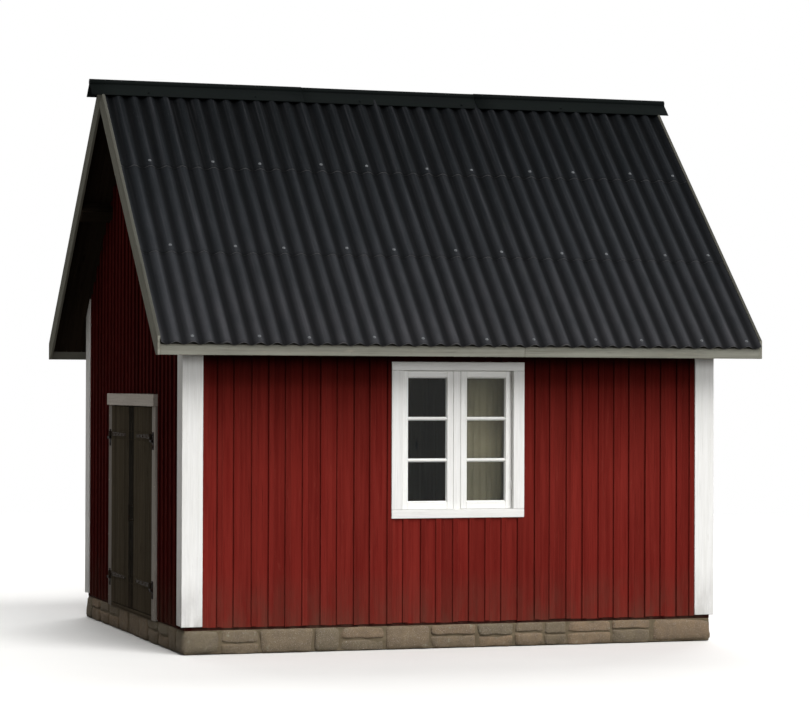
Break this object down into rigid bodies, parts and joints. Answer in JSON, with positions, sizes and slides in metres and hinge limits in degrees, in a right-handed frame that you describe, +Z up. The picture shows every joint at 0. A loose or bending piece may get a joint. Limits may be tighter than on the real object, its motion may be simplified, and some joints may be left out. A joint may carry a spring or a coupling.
{
  "type": "timber boathouse",
  "caption": "Small timber boathouse on a stone plinth, with a pair of plank doors in one gable, a casement window in an eaves wall and a steep roof of corrugated sheets.",
  "frame": {"origin": "on the ground, in the middle of the building's outline, under the middle of the ridge", "axes": "+X along the ridge, away from the gable with the doors; +Y from the eaves wall with the window towards the back; +Z up"},
  "size_m": [5.284, 4.59, 4.717],
  "materials": {
    "stone": "rough natural stone, dry, with dirt near the ground",
    "floor_wood": "unpainted worn boards",
    "red_boards": "matte red distemper on sawn boards, worn and streaked",
    "white_paint": "white paint on planed wood, slightly weathered",
    "roof_wood": "unpainted boards, darkened with age",
    "roof_sheet": "matte fibre cement, dark grey, weathered",
    "ridge_metal": "matte dark paint on folded sheet",
    "grey_boards": "pale paint weathered to grey",
    "pale_boards": "pale paint weathered to grey",
    "door_wood": "unpainted planks, weathered to grey brown",
    "glass": "clear old window glass",
    "linen": "plain woven linen, slightly faded",
    "black_iron": "forged iron, black with rust"
  },
  "bodies": {
    "house": {"front_plinth": "stone", "back_plinth": "stone", "left_plinth": "stone", "right_plinth": "stone", "floor": "floor_wood", "front_wall": "red_boards", "back_wall": "red_boards", "right_wall": "red_boards", "left_wall_front": "red_boards", "left_wall_back": "red_boards", "left_gable": "red_boards", "front_left_corner_boards": "white_paint", "front_right_corner_boards": "white_paint", "back_left_corner_boards": "white_paint", "back_right_corner_boards": "white_paint", "purlins": "roof_wood", "front_roof_boards": "roof_wood", "back_roof_boards": "roof_wood", "front_sheets_lower": "roof_sheet", "front_sheets_middle": "roof_sheet", "front_sheets_upper": "roof_sheet", "back_sheets_lower": "roof_sheet", "back_sheets_middle": "roof_sheet", "back_sheets_upper": "roof_sheet", "ridge_cap": "ridge_metal", "front_fascia": "grey_boards", "back_fascia": "grey_boards", "left_front_bargeboard": "grey_boards", "left_back_bargeboard": "grey_boards", "right_front_bargeboard": "grey_boards", "right_back_bargeboard": "grey_boards", "window_casing": "white_paint", "window_frame": "white_paint", "left_sash": "white_paint", "right_sash": "white_paint", "window_glass": "glass", "window_curtain": "linen", "door_casing": "pale_boards", "door_frame": "door_wood", "door_sill": "door_wood", "door_pintles": "black_iron"},
    "front_leaf": {"front_door_leaf": "door_wood", "front_door_ironwork": "black_iron"},
    "back_leaf": {"back_door_leaf": "door_wood", "back_door_ironwork": "black_iron"}
  },
  "joints": [
    {"name": "front_leaf_hinge", "type": "hinge", "parent": "house", "child": "front_leaf", "pos_m": [-2.293, -0.84, 1.084], "axis": [0, 0, 1], "range_deg": [0, 165]},
    {"name": "back_leaf_hinge", "type": "hinge", "parent": "house", "child": "back_leaf", "pos_m": [-2.293, 0.75, 1.084], "axis": [0, 0, -1], "range_deg": [0, 165]}
  ]
}
